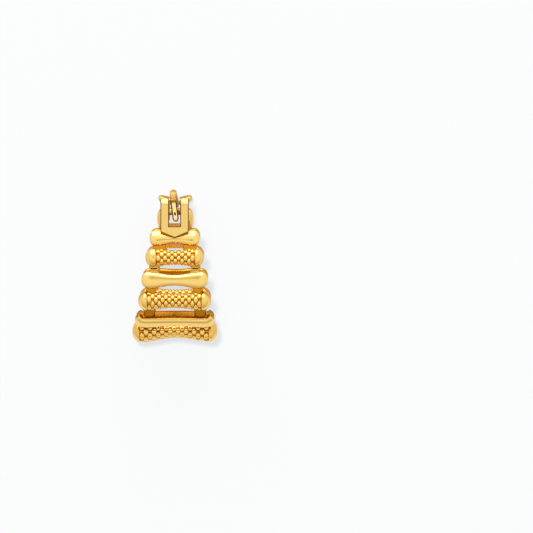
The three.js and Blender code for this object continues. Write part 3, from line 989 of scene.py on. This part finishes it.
def build_wire():
    tongue = Shell()
    tongue.add(*tongue_skin())
    # The tongue takes the paler gold of painted highlight.
    tongue.piece("wire_tongue", highlight_gold, "wire_body", "polished_gold")
    wire = Shell()
    wire.add(*wire_skin())
    wire.add(*knuckle_skin())
    wire.piece("fine_ear_wire", satin_shaded_gold, "wire_body", "satin_gold", "ear_wire")


build_bars()
build_ribs()
build_hinge_ears()
build_catch()
build_wire()
pin_materials = frame["nodes"]["hinge_pin"].data.materials
pin_materials.clear()
pin_materials.append(satin_shaded_gold)

# ---------------------------------------------------------------------------------------------
# Floor, light and camera: lengths in metres, angles in degrees

# A light table: a pale floor with a soft glow of its own, so that shadows on it stay light.
FLOOR_RADIUS = 3.0
FLOOR_COLOUR, FLOOR_ROUGHNESS = (0.05, 0.05, 0.05), 0.9
FLOOR_GLOW, FLOOR_GLOW_STRENGTH = (0.915, 0.935, 0.96), 0.758

# A large soft lamp beyond the hoop's open top gives the lights on the gold. A small lamp overhead
# makes the narrow shadow on the floor.
LIT_POINT = (0, 0, 0.008)
TOP_LAMP = dict(place=(-0.1, 0.66, 0.35), width=0.9, height=0.74, radiance=2.9, tint=(1, 1, 1))
KEY_LAMP = dict(place=(-0.034, 0.034, 0.75), width=0.04, height=0.04, radiance=4240.0,
                tint=(1, 0.95, 0.88))

# The room is white above and beyond the top, and browner below the foot.
ROOM_SLOPE, ROOM_MIDDLE, ROOM_STRENGTH = (0, 0.45, 0.45), 0.4, 1.05
ROOM = [(0.0, (0.5, 0.4, 0.28)), (0.4, (0.85, 0.84, 0.8)), (0.75, (1, 1, 1)), (1.0, (1, 1, 1))]

# The camera looks down at the back of the hoop, a little from above its open top. The picture is
# square, and its middle is to the right of the earring. Both points are in the hoop's millimetres.
VIEW_TILT, VIEW_SIDE = 1.9, 0.45
DISTANCE = 0.7
SENSOR_MM = 36
PICTURE_WIDTH = 0.0677
subject = from_mm @ Vector((0, 0, 7.0))
picture_middle = from_mm @ Vector((11.67, 1.71, 7.0))
sideways = across * math.tan(math.radians(VIEW_SIDE))
towards = (sideways + upward * math.tan(math.radians(VIEW_TILT)) + outward).normalized()

# A brown card above the camera, which shows in the polish as a lens does.
CARD_DISTANCE, CARD_OFFSET, CARD_RADIUS = 0.8, 8.0, 8.0
CARD_COLOUR, CARD_ROUGHNESS = (0.55, 0.38, 0.16), 0.8


def plain(name, colour, roughness):
    material = bpy.data.materials.new(name)
    material.use_nodes = True
    surface = material.node_tree.nodes["Principled BSDF"]
    surface.inputs["Base Color"].default_value = (*colour, 1)
    surface.inputs["Roughness"].default_value = roughness
    return material


def disc(name, radius, material, matrix):
    solid = bmesh.new()
    bmesh.ops.create_circle(solid, cap_ends=True, segments=CARD_AROUND, radius=radius)
    mesh = bpy.data.meshes.new(name)
    solid.to_mesh(mesh)
    solid.free()
    mesh.materials.append(material)
    piece = bpy.data.objects.new(name, mesh)
    piece.matrix_world = matrix
    bpy.context.scene.collection.objects.link(piece)


def facing(place, target, up=(0, 1, 0)):
    """A frame at place whose -Z looks at target."""
    back = (Vector(place) - Vector(target)).normalized()
    right = Vector(up).cross(back).normalized()
    return Matrix.Translation(place) @ Matrix((right, back.cross(right), back)).transposed().to_4x4()


def build_floor():
    material = plain("floor_white", FLOOR_COLOUR, FLOOR_ROUGHNESS)
    surface = material.node_tree.nodes["Principled BSDF"]
    surface.inputs["Emission Color"].default_value = (*FLOOR_GLOW, 1)
    surface.inputs["Emission Strength"].default_value = FLOOR_GLOW_STRENGTH
    disc("floor", FLOOR_RADIUS, material, Matrix.Identity(4))


def build_lamp(name, place, width, height, radiance, tint):
    lamp = bpy.data.lights.new(name, "AREA")
    lamp.shape = "RECTANGLE"
    lamp.size = width
    lamp.size_y = height
    lamp.energy = radiance * math.pi * width * height
    lamp.color = tint
    hung = bpy.data.objects.new(name, lamp)
    hung.matrix_world = facing(place, LIT_POINT)
    bpy.context.scene.collection.objects.link(hung)
    return hung


def build_room():
    world = bpy.data.worlds.new("studio")
    world.use_nodes = True
    bpy.context.scene.world = world
    nodes, links = world.node_tree.nodes, world.node_tree.links
    direction = nodes.new("ShaderNodeTexCoord")
    height = nodes.new("ShaderNodeVectorMath")
    height.operation = "DOT_PRODUCT"
    height.inputs[1].default_value = ROOM_SLOPE
    links.new(direction.outputs["Generated"], height.inputs[0])
    shifted = nodes.new("ShaderNodeMath")
    shifted.operation = "ADD"
    shifted.inputs[1].default_value = ROOM_MIDDLE
    links.new(height.outputs["Value"], shifted.inputs[0])
    ramp = nodes.new("ShaderNodeValToRGB")
    links.new(shifted.outputs["Value"], ramp.inputs["Fac"])
    stops = ramp.color_ramp.elements
    stops[0].position, stops[1].position = 0, 1
    for place, _ in ROOM[1:-1]:
        stops.new(place)
    for stop, (_, colour) in zip(stops, ROOM):
        stop.color = (*colour, 1)
    links.new(ramp.outputs["Color"], nodes["Background"].inputs["Color"])
    nodes["Background"].inputs["Strength"].default_value = ROOM_STRENGTH


def build_camera():
    camera = bpy.data.cameras.new("camera")
    camera.sensor_width = SENSOR_MM
    camera.lens = SENSOR_MM * DISTANCE / PICTURE_WIDTH
    camera.clip_start = 0.01
    camera.clip_end = 10
    viewer = bpy.data.objects.new("camera", camera)
    viewer.matrix_world = facing(subject + towards * DISTANCE, picture_middle, upward)
    bpy.context.scene.collection.objects.link(viewer)
    bpy.context.scene.camera = viewer


def build_card():
    direction = towards + upward * math.tan(math.radians(CARD_OFFSET))
    place = subject + direction.normalized() * CARD_DISTANCE
    disc("lens_card", CARD_DISTANCE * math.tan(math.radians(CARD_RADIUS)),
         plain("card_brown", CARD_COLOUR, CARD_ROUGHNESS), facing(place, subject))


build_floor()
build_lamp("north", **TOP_LAMP)
build_lamp("key", **KEY_LAMP).visible_glossy = False
build_room()
build_camera()
build_card()
bpy.context.scene.view_settings.view_transform = "Standard"
